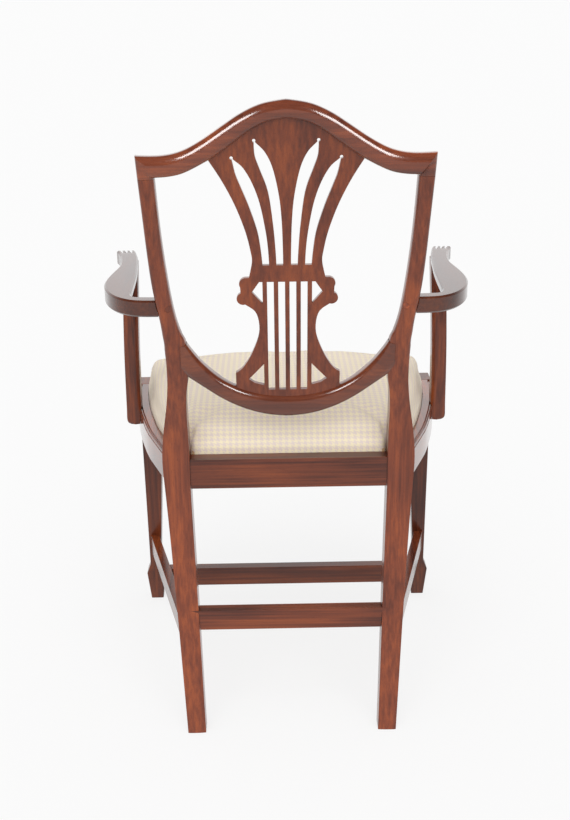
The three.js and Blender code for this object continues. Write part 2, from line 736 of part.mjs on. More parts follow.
function frontRailTenon(grow = 0) {
  const outer = -legFront + legHead / 8;
  return box(frontRailHalf - railTenonLength, frontRailHalf + railTenonLength - railTenonThickness + grow,
    outer - grow, outer + railTenonThickness + grow, railTenonBottom - grow, railTenonTop + grow);
}

// A closed outline drawn in on all sides by the same distance.
function drawnIn(outline, distance) {
  const turn = Math.sign(THREE.ShapeUtils.area(outline));
  return outline.map((p, i) => {
    const before = p.clone().sub(outline.at(i - 1)).normalize();
    const after = outline[(i + 1) % outline.length].clone().sub(p).normalize();
    const normal = vector(-before.y - after.y, before.x + after.x).normalize();
    const reach = turn * distance / (normal.y * before.x - normal.x * before.y);
    return p.clone().addScaledVector(normal, reach);
  });
}

// A plan line moved inwards from the rails' outer faces.
function inwardLine(plan, distance) {
  return plan.map((p, i) => {
    const next = plan[Math.min(plan.length - 1, i + 1)];
    const ahead = next.clone().sub(plan[Math.max(0, i - 1)]).normalize();
    return vector(p.x + ahead.y * distance, p.y - ahead.x * distance);
  });
}

// The opening that the seat drops into: rear rail, notch round the post, side rail, front rail.
function openingOutline() {
  const rear = rearRailBack - rearLipWidth;
  const corner = vector(seatHalfWidth - lipWidth, lipWidth - legFront);
  const sideLine = inwardLine(sidePlan, lipWidth);
  const side = sideLine.filter((p) => p.y < postFront - cornerClear && p.y > corner.y + cornerClear);
  const sideStart = sideLine.findIndex((p) => p.y < postFront);
  const [a, b] = [sideLine[sideStart - 1], sideLine[sideStart]];
  const start = a.clone().lerp(b, (a.y - postFront) / (a.y - b.y));
  const front = inwardLine(frontPlan, lipWidth).filter((p) => p.x > overrun && p.x < corner.x - cornerClear);
  const half = [vector(postSeat.inner, rear), vector(postSeat.inner, postFront), start, ...side, corner,
    ...front.sort((p, q) => q.x - p.x)];
  return [...half, ...half.map((p) => vector(-p.x, p.y)).reverse()];
}

function slab(outline, z0, z1) {
  const geometry = new THREE.ExtrudeGeometry(new THREE.Shape(outline),
    { depth: z1 - z0, bevelEnabled: false });
  return solidOf(geometry, (p) => p.setZ(p.z + z0));
}

const ledge = seatRailTop - rebateDepth;
const seatPlan = openingOutline();
const opening = slab(seatPlan, ledge, seatRailTop + overrun);

// Stretchers

const rearStandIn = 6.5;            // side stretcher behind the rear post's outer face
const crossPlace = 295;             // back face of the cross stretcher, from the rear feet's back
const legAnkleBack = legCentreFoot.y + ankle / 2;

function slantedBar(x0, y0, x1, y1, width, z0, z1) {
  const ring = (x, y) => [[x, z0], [x - width, z0], [x - width, z1], [x, z1]].map(([a, z]) => {
    return new THREE.Vector3(a, y, z);
  });
  return loft([ring(x0, y0), ring(x1, y1)]);
}

const stretcherBottom = stretcherTop - stretcherHeight;
const sideStretcherRear = postAt(stretcherTop - stretcherHeight / 2).outer - rearStandIn;
const postLowFront = backLine(stretcherTop) - postDepth(stretcherTop);
const sideFrontX = legCentreFoot.x + ankle / 2 - stretcherSetIn;
const sideSlope = (sideFrontX - sideStretcherRear) / (postLowFront - legAnkleBack);

function sideStretcherX(y) {
  return sideStretcherRear + (postLowFront - y) * sideSlope;
}

function sideStretcherBar(yRear, yFront, inset, height, grow = 0) {
  const middle = stretcherTop - stretcherHeight / 2;
  const width = sideStretcherWidth - 2 * inset + 2 * grow;
  return slantedBar(sideStretcherX(yRear) - inset + grow, yRear + grow, sideStretcherX(yFront) - inset + grow,
    yFront - grow, width, middle - height / 2 - grow, middle + height / 2 + grow);
}

const stretcherTenonInset = (sideStretcherWidth - stretcherTenonThickness) / 2;

function sideStretcherTenons(grow = 0) {
  return sideStretcherBar(postLowFront + stretcherTenonLength, legAnkleBack - stretcherTenonLength,
    stretcherTenonInset, stretcherTenonHeight, grow);
}

function crossTenon(grow = 0) {
  const middle = stretcherTop - stretcherHeight / 2;
  const centreY = -crossPlace - crossStretcherWidth / 2;
  const inner = sideStretcherX(centreY) - sideStretcherWidth;
  return box(inner - 2 * stretcherTenonLength, inner + stretcherTenonLength + grow,
    centreY - stretcherTenonThickness / 2 - grow, centreY + stretcherTenonThickness / 2 + grow,
    middle - stretcherTenonHeight / 2 - grow, middle + stretcherTenonHeight / 2 + grow);
}

const rearStretcherMiddle = rearStretcherTop - stretcherHeight / 2;
const postAtRearStretcher = postAt(rearStretcherMiddle);
const rearStretcherInset = 3;       // from the posts' back faces

function rearStretcherTenon(grow = 0) {
  const middle = backLine(rearStretcherMiddle) - rearStretcherInset - rearStretcherWidth / 2;
  const inner = postAtRearStretcher.inner;
  const deep = stretcherTenonThickness / 2 + grow;
  const high = stretcherTenonHeight / 2 + grow;
  return box(inner - 2 * stretcherTenonLength, inner + stretcherTenonLength + grow,
    middle - deep, middle + deep, rearStretcherMiddle - high, rearStretcherMiddle + high);
}

// Arms: the outer and inner edge in plan, across as a share of the way from the post's outer face to
// the arms' half width, and forward as a share of the way from the back to the arm's front end.
const armOverhang = 5.5;            // how far the arm's bow stands outside the seat
const armSetback = 121;             // its front end behind the front legs
const armHalfWidth = seatHalfWidth + armOverhang;
const armReach = legFront - armSetback;
const armMiddle = armTop - armThickness / 2;
const postAtArm = postAt(armMiddle);
const armOuterShares = [
  [-0.1, 0.014], [0.035, 0.014], [0.222, 0.016], [0.423, 0.031], [0.646, 0.077], [0.802, 0.14],
  [0.9, 0.207], [0.969, 0.282], [1, 0.365], [0.987, 0.45], [0.935, 0.568], [0.888, 0.666],
  [0.895, 0.748], [0.938, 0.844], [1.015, 0.945], [1.085, 1],
];
const armInnerShares = [
  [-0.054, 0.083], [0.079, 0.084], [0.233, 0.086], [0.414, 0.0965], [0.46, 0.138], [0.47, 0.189],
  [0.476, 0.2435], [0.485, 0.317], [0.494, 0.39], [0.507, 0.485], [0.529, 0.58], [0.56, 0.674],
  [0.585, 0.758], [0.625, 0.853], [0.693, 0.953], [0.73, 1],
];
const armSteps = 34;
const armEdge = 2.5;                // rounding of the arm's long edges
const armUnderRise = 12;            // the inner lower edge is worked away for the hand
const armUnderReach = 10.5;
const armUnderShares = [[0, 1], [0.3, 0.54], [0.67, 0.18], [1, 0]];

function armPlan(shares) {
  const back = backLine(armMiddle);
  return smoothPlan(shares.map((place) => {
    return placed(place, [postAtArm.outer, armHalfWidth], [back, -armReach]);
  }), armSteps);
}

function armSolid(grow = 0) {
  const outer = armPlan(armOuterShares);
  const inner = armPlan(armInnerShares);
  const top = armTop + grow;
  const bottom = armTop - armThickness - grow;
  return loft(outer.map((o, i) => {
    const n = inner[i];
    const width = o.distanceTo(n);
    const at = (inset, z) => {
      const p = o.clone().lerp(n, (inset - grow) / width);
      return new THREE.Vector3(p.x, p.y, z);
    };
    const far = width + 2 * grow;
    return [
      at(0, top - armEdge), at(armEdge, top), at(far - armEdge, top), at(far, top - armEdge),
      ...armUnderShares.map(([x, z]) => at(far - x * armUnderReach, bottom + z * armUnderRise)),
      at(armEdge, bottom), at(0, bottom + armEdge),
    ];
  }));
}

// Small flutes worked into the top of the arm's front end, deeper towards the end.
const fluteRadius = 2.4;
const fluteCount = 3;
const fluteLength = 16;
const fluteFall = 4.2;

function armFlutes() {
  const [outer, inner] = [armPlan(armOuterShares), armPlan(armInnerShares)];
  return Array.from({ length: fluteCount }, (_, i) => {
    const share = (i + 1) / (fluteCount + 1);
    const [before, end] = [armSteps - 1, armSteps].map((step) => {
      return outer[step].clone().lerp(inner[step], share);
    });
    const ahead = end.clone().sub(before).normalize();
    const start = end.clone().addScaledVector(ahead, -fluteLength);
    const direction = new THREE.Vector3(ahead.x, ahead.y, -fluteFall / fluteLength).normalize();
    const outline = [[0, 0], [fluteRadius, 0], [fluteRadius, 2 * fluteLength], [0, 2 * fluteLength]];
    return turned(outline, new THREE.Vector3(start.x, start.y, armTop + fluteRadius), direction);
  });
}

const armTenonSize = 12;
const armTenonLength = 9;

function armTenon(grow = 0) {
  const half = armTenonSize / 2 + grow;
  const y = backLine(armMiddle) - (shieldRound + shieldDepth) / 2;
  return box(postAtArm.outer - armTenonLength - grow, postAtArm.outer + armTenonLength,
    y - half, y + half, armMiddle - half, armMiddle + half);
}

// The side rail's outer face at a place along it.
function railOuterX(y) {
  const after = sidePlan.findIndex((p) => p.y < y);
  const [a, b] = [sidePlan[after - 1], sidePlan[after]];
  return THREE.MathUtils.lerp(a.x, b.x, (a.y - y) / (a.y - b.y));
}

// Arm supports. Each row is a share of the support's height, and how far its back face lies forward
// and how deep the support is there, as shares of its depth.
const supportDepth = 28;
const supportWidth = 24.5;
const supportSetback = 55;          // its back face behind the arm's front end
const supportFootDrop = 26;         // its foot below the seat rail's top
const supportStandOut = 21;         // its outer face at the foot, outside the rail's
const supportLean = 7;              // the top lies further in than the foot
const supportRidge = 4;             // its back stands out to a soft ridge
const supportFootRound = 11;        // height of the rounding at the foot's outer corner
const supportFootInset = 5.6;       // and how far it takes the corner in
const supportBack = armReach - supportSetback;
const supportBottom = seatRailTop - supportFootDrop;
const supportTop = armTop - armThickness - fit;
const supportRowSteps = 2;
const supportShares = [
  [0, 0.062, 0.62], [0.013, 0.04, 0.72], [0.04, 0.021, 0.9], [0.1, 0.041, 1],
  [0.3, -0.144, 0.96], [0.5, -0.226, 0.86],
  [0.7, -0.103, 0.84], [0.88, 0.185, 0.94], [1, 0.309, 1.02],
];
const supportFootOuter = railOuterX(-supportBack - supportDepth / 2) + supportStandOut;

// The rows from the foot up to the arm, and one more inside the arm, which is then cut to fit it.
function supportSolid() {
  const rows = smoothRows(supportShares, supportRowSteps);
  const [, forwardTop, deepTop] = rows.at(-1);
  const span = supportTop - supportBottom;
  return loft([...rows, [1 + armUnderRise / span, forwardTop, deepTop]].map(([rise, forward, deep]) => {
    const z = THREE.MathUtils.lerp(supportBottom, supportTop, rise);
    const below = Math.max(0, 1 - rise * span / supportFootRound);
    const inset = supportFootInset * (1 - Math.sqrt(1 - below ** 2));
    const inner = supportFootOuter - rise * supportLean - supportWidth;
    const outer = inner + (rise > 1 ? supportWidth / 2 : supportWidth - inset);
    const back = -supportBack - supportDepth * forward;
    const front = back - supportDepth * deep;
    const middle = (inner + outer) / 2;
    const points = [
      [inner, back - supportRidge], [inner + edgeBreak, back - supportRidge + edgeBreak], [middle, back],
      [outer - edgeBreak, back - supportRidge + edgeBreak], [outer, back - supportRidge],
      [outer, front + edgeBreak], [outer - edgeBreak, front],
      [inner + edgeBreak, front], [inner, front + edgeBreak],
    ];
    return points.map(([x, y]) => new THREE.Vector3(x, y, z));
  }));
}

const supportMiddleX = supportFootOuter - supportLean - supportWidth / 2;
const supportTopY = -supportBack - supportDepth * (supportShares[supportShares.length - 1][1] + 0.5);

function supportTopTenon(grow = 0) {
  const half = supportTenon / 2 + grow;
  return box(supportMiddleX - half, supportMiddleX + half, supportTopY - half, supportTopY + half,
    supportTop - supportTenon, supportTop + supportTenon + grow);
}

// Fasteners

const screwHead = 4.2;
const screwShank = 2.1;
const screwHeadHeight = 3;

function screw(place, direction, length, grow = 0) {
  const outline = [
    [0, -grow], [screwHead + grow, -grow], [screwShank + grow, screwHeadHeight],
    [screwShank + grow, length - screwHeadHeight], [0, length + grow],
  ];
  return turned(outline, place, direction);
}

// The way into a screw: its own hole, and room behind the head.
function screwHole(place, direction, length, behind) {
  const mouth = [[0, -behind], [screwHead + fit, -behind], [screwHead + fit, 0], [0, 0]];
  return screw(place, direction, length, fit).add(turned(mouth, place, direction));
}

// Arm screw: from the inner shoulder of the post's rounded back, out into the arm's root.
const armScrewAngle = 0.45;         // radians, forward of straight across
const armScrewLength = 34;
const pelletRadius = 4.8;
const pelletLength = 6;
const armScrewDirection = new THREE.Vector3(Math.cos(armScrewAngle), -Math.sin(armScrewAngle), 0);
const pelletFace = new THREE.Vector3(postAtArm.inner + shieldRound / 2,
  backLine(armMiddle) - shieldRound / 3, armMiddle);
const armScrewPlace = pelletFace.clone().addScaledVector(armScrewDirection, pelletLength + fit);

function pelletBlank(grow = 0) {
  const outline = [
    [0, -overrun], [pelletRadius + grow, -overrun], [pelletRadius + grow, pelletLength + grow],
    [0, pelletLength + grow],
  ];
  return turned(outline, pelletFace, armScrewDirection);
}

// Support screws: from inside the side rail, out into the foot of the arm support.
const supportScrewLength = 36;
const supportScrewSpacing = 14;
const supportScrewSink = 3;         // head below the rail's inner face
const supportScrewDrop = 20.5;      // below the rail's top

const outward = new THREE.Vector3(1, 0, 0);
const backward = new THREE.Vector3(0, 1, 0);
const forward = new THREE.Vector3(0, -1, 0);

const supportScrews = [-1, 1].map((side) => {
  const y = -supportBack - supportDepth / 2 + side * supportScrewSpacing / 2;
  const head = railOuterX(y) - railThickness + supportScrewSink;
  const place = new THREE.Vector3(head, y, seatRailTop - supportScrewDrop);
  return { place, direction: outward, length: supportScrewLength };
});

// Corner blocks: three-cornered pieces under the seat, screwed to the rails on both sides.
const blockHeight = 28;
const blockDrop = 2;                // below the ledge that carries the seat
const blockReach = 80;              // along the front corner, from the middle of each rail
const rearBlockBack = 65;           // along the rear rail
const rearBlockSide = 70;           // forward along the side rail
const blockScrewLength = 30;
const blockScrewSink = 2;
const blockScrewInset = 24;         // from the front leg
const blockTop = ledge - blockDrop;
const blockMiddle = blockTop - blockHeight / 2;

const frontBlockCorner = vector(seatHalfWidth - railThickness / 2, railThickness / 2 - legFront);
const frontBlockPlan = [
  frontBlockCorner,
  vector(frontBlockCorner.x, frontBlockCorner.y + blockReach),
  vector(frontBlockCorner.x - blockReach, frontBlockCorner.y),
];
const rearBlockCorner = vector(postSeat.inner + railThickness / 2, rearRailFront + overrun);
const rearBlockPlan = [
  rearBlockCorner,
  vector(rearBlockCorner.x - rearBlockBack, rearBlockCorner.y),
  vector(railOuterX(rearBlockCorner.y - rearBlockSide) - railThickness / 2,
    rearBlockCorner.y - rearBlockSide),
];

// Where a block's long face lies, at a place across or at a place along.
function longFaceY([, a, b], x) {
  return THREE.MathUtils.lerp(a.y, b.y, (x - a.x) / (b.x - a.x));
}

function longFaceX([, a, b], y) {
  return THREE.MathUtils.lerp(a.x, b.x, (y - a.y) / (b.y - a.y));
}

function blockScrew(x, y, direction) {
  const face = new THREE.Vector3(x, y, blockMiddle);
  return { place: face.addScaledVector(direction, blockScrewSink), direction, length: blockScrewLength };
}

const frontScrewX = frontRailHalf - blockScrewInset;
const frontScrewY = -legBack + blockScrewInset;
const rearScrewX = postSeat.inner - rearBlockBack / 4;
const rearScrewY = rearRailFront - rearBlockSide / 2;
const frontBlockScrews = [
  blockScrew(longFaceX(frontBlockPlan, frontScrewY), frontScrewY, outward),
  blockScrew(frontScrewX, longFaceY(frontBlockPlan, frontScrewX), forward),
];
const rearBlockScrews = [
  blockScrew(longFaceX(rearBlockPlan, rearScrewY), rearScrewY, outward),
  blockScrew(rearScrewX, longFaceY(rearBlockPlan, rearScrewX), backward),
];

function holesFor(screws, behind) {
  return screws.map(({ place, direction, length }) => screwHole(place, direction, length, behind));
}

// Putting the frame together

const post = cut(
  postSolid().add(postTenon()),
  lowerTenon(fit), rearRailTenon(fit), sideRailRearTenon(fit), rearStretcherTenon(fit),
  sideStretcherTenons(fit), armTenon(fit), pelletBlank(fit),
  screwHole(armScrewPlace, armScrewDirection, armScrewLength, 0),
);
const grownPost = postSolid(fit);
const grownLeg = legSolid(fit).add(legHeadRoom());
addPair('rear_post', post, mahogany);

const splat = splatSolid();
const crest = cut(cutBothSides(crestSolid(), postTenon(fit)), splatGroove(crestUnderEdge, fanHalf, tongue));
add('crest_rail', crest, mahogany);

const lowerRail = cut(
  cutBothSides(lowerRailSolid(), grownPost).add(lowerTenon()).add(mirrored(lowerTenon())),
  splatGroove(lowerTopEdge, baseHalf, -tongue),
);
add('shield_lower_rail', lowerRail, mahogany);
add('splat', splat, mahogany);

const rearRail = cutBothSides(
  cutBothSides(rearRailSolid(), grownPost).add(rearRailTenon()).add(mirrored(rearRailTenon())),
  ...holesFor(rearBlockScrews, 0),
);
const sideRailBar = bentRail(sidePlan, railSection());
const sideRail = cut(
  cut(sideRailBar, grownPost, grownLeg).add(sideRailRearTenon()).add(sideRailFrontTenon()),
  opening, ...holesFor([...rearBlockScrews, ...frontBlockScrews], 0), ...holesFor(supportScrews, overrun),
);
const frontRailBar = bentRail(frontPlan, railSection());
const frontRail = cut(
  cutBothSides(
    cutBothSides(frontRailBar, grownLeg).add(frontRailTenon()).add(mirrored(frontRailTenon())),
    ...holesFor(frontBlockScrews, 0),
  ),
  opening,
);
const frontLeg = cut(legSolid(),
  sideRailFrontTenon(fit), frontRailTenon(fit), sideStretcherTenons(fit), opening);

add('rear_seat_rail', rearRail, mahogany);
addPair('side_seat_rail', sideRail, mahogany);
add('front_seat_rail', frontRail, mahogany);
addPair('front_leg', frontLeg, mahogany);

const sideStretcher = cut(
  cut(sideStretcherBar(postLowFront + postFootDepth / 2, legAnkleBack - ankle / 8, 0, stretcherHeight),
    grownPost, grownLeg).add(sideStretcherTenons()),
  crossTenon(fit),
);
addPair('side_stretcher', sideStretcher, mahogany);

const crossReach = sideStretcherX(-crossPlace) - sideStretcherWidth / 2;
const grownSideStretcher = sideStretcherBar(postLowFront, legAnkleBack, 0, stretcherHeight, fit);
const crossStretcher = cutBothSides(
  box(-crossReach, crossReach, -crossPlace - crossStretcherWidth, -crossPlace, stretcherBottom, stretcherTop),
  grownSideStretcher,
).add(crossTenon()).add(mirrored(crossTenon()));
add('cross_stretcher', crossStretcher, mahogany);

const rearStretcherBack = backLine(rearStretcherMiddle) - rearStretcherInset;
const rearStretcherReach = postAtRearStretcher.centre;
const rearStretcher = cutBothSides(
  box(-rearStretcherReach, rearStretcherReach, rearStretcherBack - rearStretcherWidth, rearStretcherBack,
    rearStretcherTop - stretcherHeight, rearStretcherTop),
  grownPost,
).add(rearStretcherTenon()).add(mirrored(rearStretcherTenon()));
add('rear_stretcher', rearStretcher, mahogany);

const arm = cut(
  cut(armSolid(), grownPost).add(armTenon()),
  supportTopTenon(fit), ...armFlutes(),
  screwHole(armScrewPlace, armScrewDirection, armScrewLength, 0),
);
addPair('arm', arm, mahogany);

const grownSideRail = bentRail(sidePlan, railSection(fit));
const grownFrontRail = bentRail(frontPlan, railSection(fit));
const grownRearRail = box(-seatHalfWidth, seatHalfWidth, rearRailFront - fit, rearRailBack,
  railBottom, seatRailTop);
const support = cut(
  cut(supportSolid(), grownSideRail, armSolid(fit)).add(supportTopTenon()),
  ...holesFor(supportScrews, 0),
);
addPair('arm_support', support, mahogany);

const frontBlock = cut(slab(frontBlockPlan, blockTop - blockHeight, blockTop),
  grownSideRail, grownFrontRail, grownLeg, ...holesFor(frontBlockScrews, 2 * overrun));
const rearBlock = cut(slab(rearBlockPlan, blockTop - blockHeight, blockTop),
  grownSideRail, grownRearRail, grownPost, ...holesFor(rearBlockScrews, 2 * overrun));
addPair('corner_block_front', frontBlock, beech);
addPair('corner_block_rear', rearBlock, beech);

function addScrews(name, screws) {
  screws.forEach(({ place, direction, length }, i) => {
    addPair(`${name}_${i + 1}`, screw(place, direction, length), steel);
  });
}

addScrews('block_screw_front', frontBlockScrews);
addScrews('block_screw_rear', rearBlockScrews);
addScrews('arm_support_screw', supportScrews);

addPair('arm_screw', screw(armScrewPlace, armScrewDirection, armScrewLength), steel);
addPair('arm_screw_pellet', pelletBlank().intersect(postSolid()), pelletWood);

// The seat is put together in the same way, bottom to top.

const coverThickness = 1.2;
const hemWidth = 18;
const seatBottom = ledge + fit;
const frameBottom = seatBottom + coverThickness + fit;
const frameRise = 4;                // seat frame above the seat rails
const crownRise = 53;               // top of the stuffed seat above the seat rails
const frameTop = seatRailTop + frameRise;
const frameWidth = 45;
const frameInset = softGap + coverThickness + fit;

const framePlan = drawnIn(seatPlan, frameInset);
const frameSlab = slab(framePlan, frameBottom, frameTop);
const seatRear = rearRailBack - rearLipWidth - frameInset;
const seatFront = Math.min(...framePlan.map((p) => p.y));
const rearFrameFront = seatRear - frameWidth;
const frontFrameBack = -legFront + lipWidth + frameWidth / 2;
const sideFrameRearX = postSeat.inner - frameWidth / 3;
const sideFrameFrontX = frontRailHalf - frameWidth / 2;

function sideFrameRegion(y0, y1) {
  const far = 2 * seatHalfWidth;
  return slab([vector(sideFrameRearX, y0), vector(far, y0), vector(far, y1), vector(sideFrameFrontX, y1)],
    frameBottom - overrun, frameTop + overrun);
}

const frameTenonLength = 18;
const frameTenonThickness = 6;
const frameMiddle = (frameBottom + frameTop) / 2;

function frameTenons(grow = 0) {
  const z0 = frameMiddle - frameTenonThickness / 2 - grow;
  const z1 = frameMiddle + frameTenonThickness / 2 + grow;
  const rearX = sideFrameRearX + frameWidth / 4;
  const frontX = sideFrameFrontX + frameWidth / 4;
  return {
    rear: box(rearX - grow, rearX + frameWidth / 3 + grow, rearFrameFront - frameTenonLength,
      rearFrameFront + frameTenonLength + grow, z0, z1),
    front: box(frontX - grow, frontX + frameWidth / 3 + grow, frontFrameBack - frameTenonLength - grow,
      frontFrameBack + frameTenonLength, z0, z1),
  };
}

const far = 2 * legFront;
const tenons = frameTenons();
const mortises = frameTenons(fit);
const rearFrame = frameSlab.intersect(box(-far, far, rearFrameFront, 0, 0, far));
const frontFrame = frameSlab.intersect(box(-far, far, -far, frontFrameBack, 0, far));
const sideFrame = frameSlab.intersect(sideFrameRegion(rearFrameFront - fit, frontFrameBack + fit))
  .add(tenons.rear).add(tenons.front);
add('seat_frame_rear', cutBothSides(rearFrame, mortises.rear), beech);
add('seat_frame_front', cutBothSides(frontFrame, mortises.front), beech);
addPair('seat_frame_side', sideFrame, beech);

// Webbing: three straps from back to front, and three across on top of them.
const strapWidth = 50;
const strapThickness = 1.4;
const strapCount = 3;
const strapEnd = 20;                // how far each end lies on the frame
const longStrapBottom = frameTop + fit;
const crossStrapBottom = longStrapBottom + strapThickness + fit;
const strapPitch = 78;

for (let i = 0; i < strapCount; i++) {
  const x = (i - (strapCount - 1) / 2) * strapPitch;
  add(`webbing_long_${i + 1}`, box(x - strapWidth / 2, x + strapWidth / 2, frontFrameBack - strapEnd,
    rearFrameFront + strapEnd, longStrapBottom, longStrapBottom + strapThickness), webCloth);
}
for (let i = 0; i < strapCount; i++) {
  const y = (rearFrameFront + frontFrameBack) / 2 + (i - (strapCount - 1) / 2) * strapPitch;
  const along = (y - rearFrameFront) / (frontFrameBack - rearFrameFront);
  const half = THREE.MathUtils.lerp(sideFrameRearX, sideFrameFrontX, along) + strapEnd;
  add(`webbing_across_${i + 1}`, box(-half, half, y - strapWidth / 2, y + strapWidth / 2,
    crossStrapBottom, crossStrapBottom + strapThickness), webCloth);
}

const hessianThickness = 1;
const hessianBottom = crossStrapBottom + strapThickness + fit;
const hessianPlan = drawnIn(seatPlan, frameInset + strapEnd / 3);
add('hessian', slab(hessianPlan, hessianBottom, hessianBottom + hessianThickness), hessianCloth);

// The stuffing and the cover share one crowned form, in rings drawn in towards the middle.
const crownTop = seatRailTop + crownRise;
const padBase = frameTop;
const crownShares = [
  [1, 0], [1, 0.2], [0.997, 0.45], [0.987, 0.66], [0.965, 0.82], [0.925, 0.91], [0.84, 0.96],
  [0.6, 0.99], [0.25, 1],
];

function padRings(outline, base, top) {
  const middleY = (seatRear + seatFront) / 2;
  return crownShares.map(([size, rise]) => outline.map((p) => {
    const y = middleY + (p.y - middleY) * size;
    return new THREE.Vector3(p.x * size, y, THREE.MathUtils.lerp(base, top, rise));
  }));
}

const stuffingBase = hessianBottom + hessianThickness + fit;
const stuffingTop = crownTop - coverThickness - fit;
const stuffingForm = loft(padRings(drawnIn(seatPlan, frameInset), padBase, stuffingTop));
add('stuffing', stuffingForm.intersect(box(-far, far, -far, far, stuffingBase, far)), hair);

const coverOuter = drawnIn(seatPlan, softGap);
const coverInner = drawnIn(seatPlan, softGap + coverThickness);
const hemEdge = drawnIn(seatPlan, softGap + hemWidth);
const level = (outline, z) => outline.map((p) => new THREE.Vector3(p.x, p.y, z));
const cover = loft([
  ...padRings(coverOuter, padBase, crownTop).reverse(),
  level(coverOuter, seatBottom),
  level(hemEdge, seatBottom),
  level(hemEdge, seatBottom + coverThickness),
  level(coverInner, seatBottom + coverThickness),
  ...padRings(coverInner, padBase, crownTop - coverThickness),
]);
add('seat_cover', cover, coverCloth);

const underClothThickness = 0.8;
const underClothTop = frameBottom - fit;
const underClothPlan = drawnIn(seatPlan, softGap + hemWidth + fit);
add('under_cloth', slab(underClothPlan, underClothTop - underClothThickness, underClothTop), underCloth);

// The middle of the footprint goes to the origin.
const bounds = new THREE.Box3().setFromObject(chair);
chair.position.set(-(bounds.min.x + bounds.max.x) / 2, -(bounds.min.y + bounds.max.y) / 2, -bounds.min.z);
chair.updateMatrixWorld(true);

export default chair;
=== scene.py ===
"""A shield back armchair in polished mahogany with a stuffed drop-in seat.

Metres, +Z up. The chair faces -Y, and +X is the sitter's left.
"""

import json
import math

import bpy
import numpy as np
from mathutils import Matrix, Vector

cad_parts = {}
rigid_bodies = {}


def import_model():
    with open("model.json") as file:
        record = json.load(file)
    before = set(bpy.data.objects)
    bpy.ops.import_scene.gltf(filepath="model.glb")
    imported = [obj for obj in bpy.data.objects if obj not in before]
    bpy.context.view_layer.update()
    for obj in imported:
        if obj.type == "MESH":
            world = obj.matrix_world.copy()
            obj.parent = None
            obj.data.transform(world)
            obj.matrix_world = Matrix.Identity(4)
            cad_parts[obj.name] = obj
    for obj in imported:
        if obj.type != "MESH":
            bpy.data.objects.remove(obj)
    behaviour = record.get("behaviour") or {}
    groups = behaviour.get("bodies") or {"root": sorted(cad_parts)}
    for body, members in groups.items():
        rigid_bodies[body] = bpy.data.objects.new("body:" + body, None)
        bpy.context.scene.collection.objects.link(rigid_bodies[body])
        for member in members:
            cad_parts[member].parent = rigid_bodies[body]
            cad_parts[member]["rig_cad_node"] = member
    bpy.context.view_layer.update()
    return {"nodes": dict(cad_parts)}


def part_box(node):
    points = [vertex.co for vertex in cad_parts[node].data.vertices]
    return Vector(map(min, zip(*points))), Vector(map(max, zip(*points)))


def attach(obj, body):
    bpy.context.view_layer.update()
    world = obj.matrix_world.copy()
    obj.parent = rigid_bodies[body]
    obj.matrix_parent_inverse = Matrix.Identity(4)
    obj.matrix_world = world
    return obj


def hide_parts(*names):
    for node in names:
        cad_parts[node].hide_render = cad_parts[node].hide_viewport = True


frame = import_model()
nodes = frame["nodes"]
CHAIR = "chair_frame"
SEAT = "drop_in_seat"


# Camera
# A 50 mm lens on a full frame, behind the chair and a little above its back, looking down over
# the shield at the seat.

CAMERA_PLACE = Vector((0.02255, 1.756148, 1.1295))
CAMERA_DOWN = math.radians(20.72)
CAMERA_TURN = math.radians(-0.642)
CAMERA_ROLL = math.radians(-0.685)

bpy.ops.object.camera_add()
camera = bpy.context.active_object
camera.data.lens = 50
camera.data.sensor_width = 36
camera.matrix_world = (
    Matrix.Translation(CAMERA_PLACE)
    @ Matrix.Rotation(math.pi + CAMERA_TURN, 4, "Z")
    @ Matrix.Rotation(math.pi / 2 - CAMERA_DOWN, 4, "X")
    @ Matrix.Rotation(CAMERA_ROLL, 4, "Z")
)
bpy.context.scene.camera = camera


# Materials are put together from nodes
# A finish is one Principled shader with what feeds it. Its node method makes every node but the
# Math nodes, which come from arithmetic on the sockets.


class Socket:
    """The output of a node. Arithmetic on it adds Math nodes."""

    def __init__(self, finish, output):
        self.finish = finish
        self.output = output

    def math(self, operation, first, second):
        return self.finish.node("Math", {"operation": operation}, {0: first, 1: second})

    def __add__(self, other):
        return self.math("ADD", self, other)

    def __rsub__(self, other):
        return self.math("SUBTRACT", other, self)

    def __mul__(self, other):
        return self.math("MULTIPLY", self, other)

    def __mod__(self, other):
        return self.math("FLOORED_MODULO", self, other)

    def __lt__(self, other):
        return self.math("LESS_THAN", self, other)

    def __gt__(self, other):
        return self.math("GREATER_THAN", self, other)

    __radd__ = __add__
    __rmul__ = __mul__


